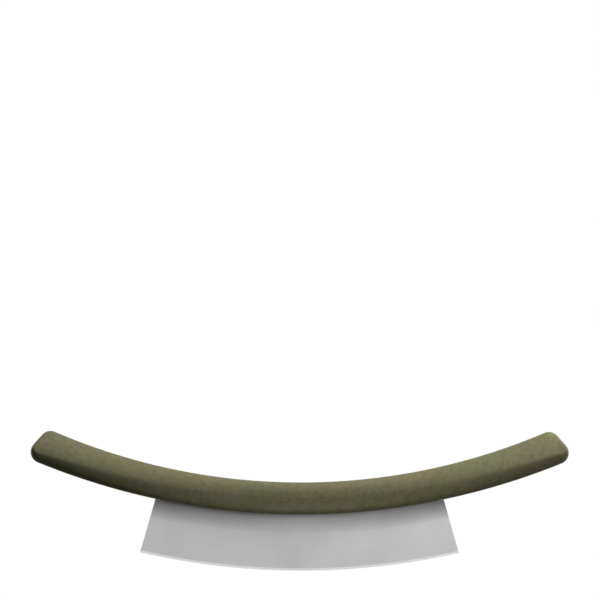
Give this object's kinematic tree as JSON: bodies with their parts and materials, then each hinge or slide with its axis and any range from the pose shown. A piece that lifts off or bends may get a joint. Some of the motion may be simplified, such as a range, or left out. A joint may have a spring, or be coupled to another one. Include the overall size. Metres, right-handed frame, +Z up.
{
  "type": "rocking knife",
  "caption": "Two-handed rocking knife: a curved olive composite grip bar with a broad flared steel blade and an arced, bevelled edge that rocks on a board.",
  "frame": {"origin": "lowest point of the cutting edge, at mid-length and mid-thickness", "axes": "+X along the grip bar to the right seen from the front, +Y from front to back across the blade, +Z up from the edge to the bar"},
  "size_m": [0.3806, 0.0254, 0.0985],
  "materials": {
    "blade_steel": "fine brushed stainless with a brighter ground bevel",
    "handle_composite": "matte olive wood-fibre composite with a fine fleck",
    "pin_steel": "plain turned dowel, hidden inside the grip"
  },
  "bodies": {
    "root": {"blade": "blade_steel", "handle_front_half": "handle_composite", "handle_rear_half": "handle_composite", "tang_pin_1": "pin_steel", "tang_pin_2": "pin_steel", "tang_pin_3": "pin_steel", "tang_pin_4": "pin_steel", "tang_pin_5": "pin_steel", "end_pin_left": "pin_steel", "end_pin_right": "pin_steel"}
  },
  "joints": []
}
